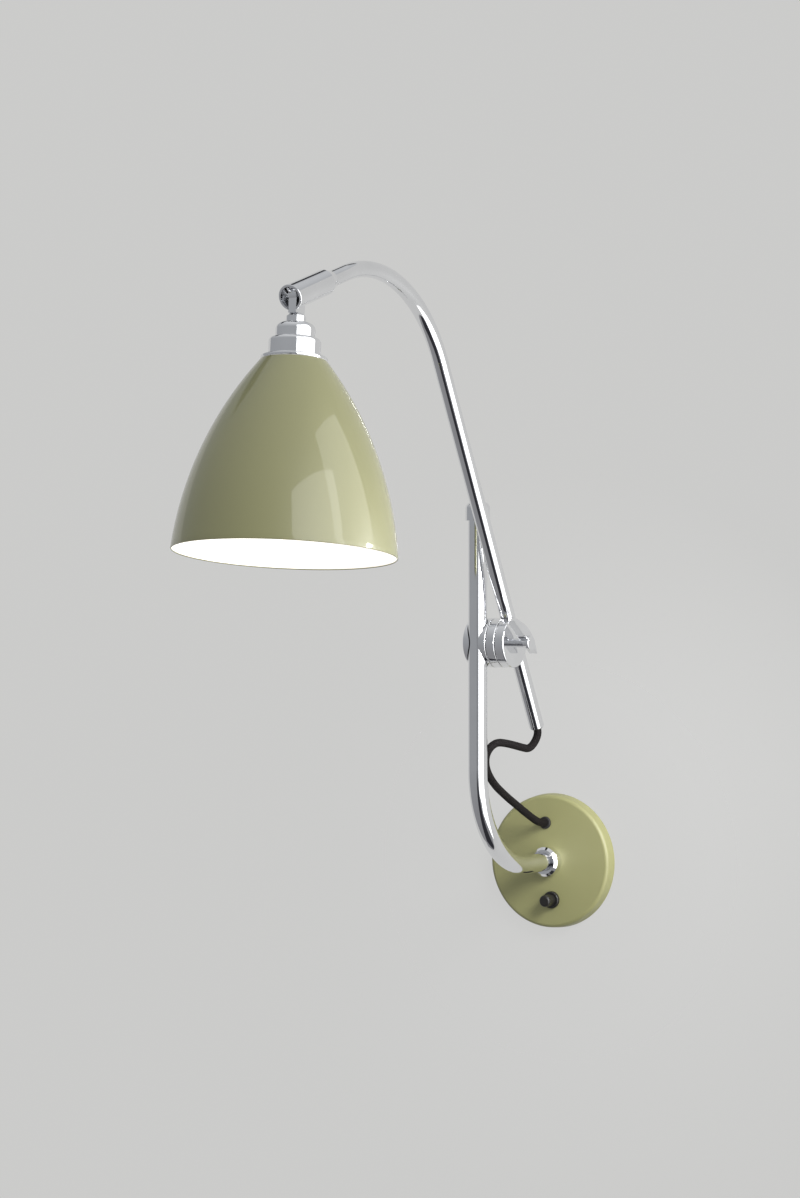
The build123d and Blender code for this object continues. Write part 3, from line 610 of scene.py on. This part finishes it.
def cord_cover():
    """A close black textile braid over the flex, dull, with a faint light on its ribs."""
    braid = new_finish("cord_cover")
    turn, length, _ = braid.parts(braid.place("UV"))
    turns = turn * (2 * pi * BRAID_STRANDS)
    pitch = length * (2 * pi * BRAID_PITCH)
    weave = turn.math("SINE", turns + pitch) * turn.math("SINE", turns - pitch)
    fuzz = braid.noise(scale=2600.0, detail=3.0)
    return braid.principled(
        {
            "Base Color": braid.blend(fuzz, BRAID_DARK, BRAID_PALE),
            "Roughness": 0.55 + 0.2 * fuzz,
            "Specular IOR Level": 0.12,
            "Normal": braid.bump(weave + 0.6 * fuzz, strength=0.5, distance=0.0004),
        }
    )


route = cord_route()
cord_points = cord_line(route)
cord_aims = cord_directions(cord_points)
cover = cord_cover()
first, travelled = 0, 0.0
for name, last, body, next_body in CORD_STRETCHES:
    if last is None:
        final = len(cord_points) - 1
    else:
        final = nearest(cord_points, (route[last] + route[last + 1]) / 2)
    points = cord_points[first : final + 1]
    flex, end_length = cord_tube(name + "_flex", points, cord_aims[first : final + 1], travelled, cover)
    end_length - travelled
    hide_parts(name)
    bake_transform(flex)
    first, travelled = final, end_length


# The knuckle is a plated sleeve that swivels on the arm's end. Its front is hollow and slotted
# below, to take the tongue of the stem on a steel pin that is ground flush.
dress(chrome, "knuckle_sleeve")
dress(zinc, "pivot_pin", "swivel_screw")


# The stem, the stepped gallery below it and the flange that lies on the shade are turned and
# plated. A nut inside the gallery holds them to the stem, which carries the lamp's leads.
dress(chrome, "stem", "gallery", "flange_ring")
dress(zinc, "gallery_nut")
dress(sheath, "head_flex")


# The shade is a spun metal bell, gloss sage outside and white inside, with a rounded lip. The
# lit lamp's light is painted onto the white as a glow, most of all low down and a little warmer
# at the lip.
HEAD_TURN = radians(115.6)   # from the arm's end round the pin to the head's axis
SHADE_TOP = 0.0473        # depths below the pivot pin
SHADE_RIM = 0.1828
SHADE_TOP_RADIUS = 0.0236
SHADE_RIM_RADIUS = 0.0786
SHADE_BORE_RADIUS = 0.0169
SHADE_ARC_RADIUS = 0.253
SHADE_WALL = 0.0012
BELL_STEPS = 40
LIP_STEPS = 8
TURN_STEPS = 128
MERGE_DISTANCE = 1e-6
WHITE_INSIDE = (0.86, 0.85, 0.82, 1.0)
# The lamplight colours are painted light: a glow on the white inside, faint high up, full low down and
# warmer at the lip.
LAMPLIGHT_HIGH = (0.12, 0.117, 0.11, 1.0)
LAMPLIGHT_LOW = (1.0, 0.975, 0.93, 1.0)
LAMPLIGHT_LIP = (1.0, 0.93, 0.80, 1.0)
LAMPLIGHT_STRENGTH = 0.6
LOW_GLOW_DEPTHS = (0.118, 0.160)       # the glow grows between these depths
LIP_GLOW_DEPTHS = (0.176, SHADE_RIM)   # and turns warmer between these

pin = Vector(joints["shade_tilt"]["pos_m"])
pin_axis = Vector(joints["shade_tilt"]["axis"]).normalized()
swivel_axis = Vector(joints["head_swivel"]["axis"]).normalized()
head_up = Matrix.Rotation(-HEAD_TURN, 3, pin_axis) @ swivel_axis
head_frame = Matrix((pin_axis, head_up.cross(pin_axis), head_up)).transposed().to_4x4()
head_frame.translation = pin


def turned(profile):
    """A closed solid of revolution from a closed profile of (radius, level) points."""
    work = bmesh.new()
    corners = [work.verts.new((radius, 0.0, level)) for radius, level in profile]
    edges = [work.edges.new(pair) for pair in zip(corners, corners[1:] + corners[:1])]
    bmesh.ops.spin(
        work,
        geom=corners + edges,
        cent=(0, 0, 0),
        axis=(0, 0, 1),
        angle=2 * pi,
        steps=TURN_STEPS,
        use_merge=True,
    )
    bmesh.ops.remove_doubles(work, verts=work.verts, dist=MERGE_DISTANCE)
    bmesh.ops.recalc_face_normals(work, faces=work.faces)
    return work


def bell(depth, inset):
    """Radius of the shade's wall at a depth; its profile is one arc from top edge to rim."""
    across = SHADE_RIM_RADIUS - SHADE_TOP_RADIUS
    height = SHADE_RIM - SHADE_TOP
    chord = sqrt(across**2 + height**2)
    reach = sqrt(SHADE_ARC_RADIUS**2 - (chord / 2) ** 2)
    middle = (SHADE_RIM_RADIUS + SHADE_TOP_RADIUS) / 2 - reach * height / chord
    level = (SHADE_TOP + SHADE_RIM) / 2 + reach * across / chord
    return middle + sqrt((SHADE_ARC_RADIUS - inset) ** 2 - (depth - level) ** 2)


def bell_wall(top, rim, inset):
    """Points down one face of the shade's wall."""
    depths = [top + (rim - top) * step / BELL_STEPS for step in range(BELL_STEPS + 1)]
    return [Vector((bell(depth, inset), -depth)) for depth in depths]


def bell_profile():
    """The shade's cut wall: down the outside, round the lip, up the inside and to the bore."""
    lip_depth = SHADE_RIM - SHADE_WALL / 2
    under = SHADE_TOP + SHADE_WALL
    outer = bell_wall(SHADE_TOP, lip_depth, 0.0)
    inner = bell_wall(under, lip_depth, SHADE_WALL)
    middle, half = (outer[-1] + inner[-1]) / 2, (outer[-1] - inner[-1]) / 2
    down = Vector((half.y, -half.x))
    angles = [pi * step / LIP_STEPS for step in range(1, LIP_STEPS)]
    lip = [middle + half * cos(angle) + down * sin(angle) for angle in angles]
    bore = [(SHADE_BORE_RADIUS, -under), (SHADE_BORE_RADIUS, -SHADE_TOP)]
    return [*outer, *lip, *reversed(inner), *bore]


def painted_glow_white():
    """White enamel inside the shade, with the lit lamp's light painted onto it as a glow."""
    white = new_finish("painted_glow_white")
    along = {0: white.place(), 1: head_up}
    height = white.node("ShaderNodeVectorMath", {"operation": "DOT_PRODUCT"}, along, output="Value")
    depth = pin.dot(head_up) - height
    low, near_lip = [
        ((depth - top) * (1 / (bottom - top))).clamped()
        for top, bottom in (LOW_GLOW_DEPTHS, LIP_GLOW_DEPTHS)
    ]
    # Painted light: the lamp's glow on the inner white, graded by depth.
    glow = white.blend(near_lip, white.blend(low, LAMPLIGHT_HIGH, LAMPLIGHT_LOW), LAMPLIGHT_LIP)
    dimples = white.noise(scale=520.0, detail=2.0)
    return white.principled(
        {
            "Base Color": WHITE_INSIDE,
            "Roughness": 0.3 + 0.1 * dimples,
            "Emission Color": glow,
            "Emission Strength": LAMPLIGHT_STRENGTH,
            "Normal": white.bump(dimples, strength=0.04, distance=0.0003),
        }
    )


work = turned(bell_profile())
for face in work.faces:
    centre = face.calc_center_median()
    depth = -centre.z
    inside = centre.xy.length < bell(depth, SHADE_WALL / 2) and depth < SHADE_RIM - SHADE_WALL / 2
    face.material_index = 1 if inside else 0
bmesh.ops.transform(work, matrix=head_frame, verts=work.verts)
gloss_sage = sage_paint("gloss_sage", roughness=0.42, gloss=1.0)
bell_shade = finished_mesh("bell_shade", work, [gloss_sage, painted_glow_white()])
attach(bell_shade, "head")
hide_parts("shade")


# The lampholder hangs in the gallery, with a ring on its thread that clamps the shade. The
# bulb is a small opal globe on a brass cap.
BULB_RADIUS = 0.0225
BULB_MIDDLE = 0.0907      # depth of the globe's middle below the pin
BULB_SEAM = radians(32)   # the neck leaves the globe this far above its middle
BULB_NECK_RADIUS = 0.0126
BULB_TOP = 0.0592
GLOBE_STEPS = 20
NECK_STEPS = 8
OPAL = (0.93, 0.91, 0.86, 1.0)
OPAL_LIGHT = (1.0, 0.95, 0.86, 1.0)
OPAL_EDGE = (1.0, 0.90, 0.76, 1.0)
OPAL_STRENGTH = 1.6


def opal_glass():
    """Opal glass with the lamp on, softly clouded."""
    opal = new_finish("opal_glass")
    cloud = opal.noise(scale=90.0, detail=3.0)
    return opal.principled(
        {
            "Base Color": OPAL,
            "Roughness": 0.15 + 0.15 * cloud,
            "Emission Color": opal.blend(cloud, OPAL_EDGE, OPAL_LIGHT),
            "Emission Strength": OPAL_STRENGTH,
            "Normal": opal.bump(cloud, strength=0.03, distance=0.0003),
        }
    )


def globe_profile():
    """The bulb's outline, from the foot of its globe up to the middle of its neck's end."""
    turn = pi / 2 + BULB_SEAM
    angles = [turn * step / GLOBE_STEPS - pi / 2 for step in range(GLOBE_STEPS + 1)]
    middle = Vector((0, -BULB_MIDDLE))
    globe = [middle + Vector((cos(angle), sin(angle))) * BULB_RADIUS for angle in angles]
    seam = globe[-1]
    lift = (seam.x - BULB_NECK_RADIUS) / sin(BULB_SEAM) * cos(BULB_SEAM)
    bend = Vector((BULB_NECK_RADIUS, seam.y + lift))
    end = Vector((BULB_NECK_RADIUS, -BULB_TOP))
    shares = [step / NECK_STEPS for step in range(1, NECK_STEPS + 1)]
    neck = [seam * (1 - t) ** 2 + bend * 2 * t * (1 - t) + end * t**2 for t in shares]
    return [*globe, *neck, (0.0, -BULB_TOP)]


dress(moulded_plastic("holder_black", BLACK, roughness=0.3), "lampholder", "shade_ring")
dress(brass, "bulb_cap")
work = turned(globe_profile())
bmesh.ops.transform(work, matrix=head_frame, verts=work.verts)
opal_bulb = finished_mesh("opal_bulb", work, [opal_glass()])
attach(opal_bulb, "head")
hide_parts("bulb_glass")
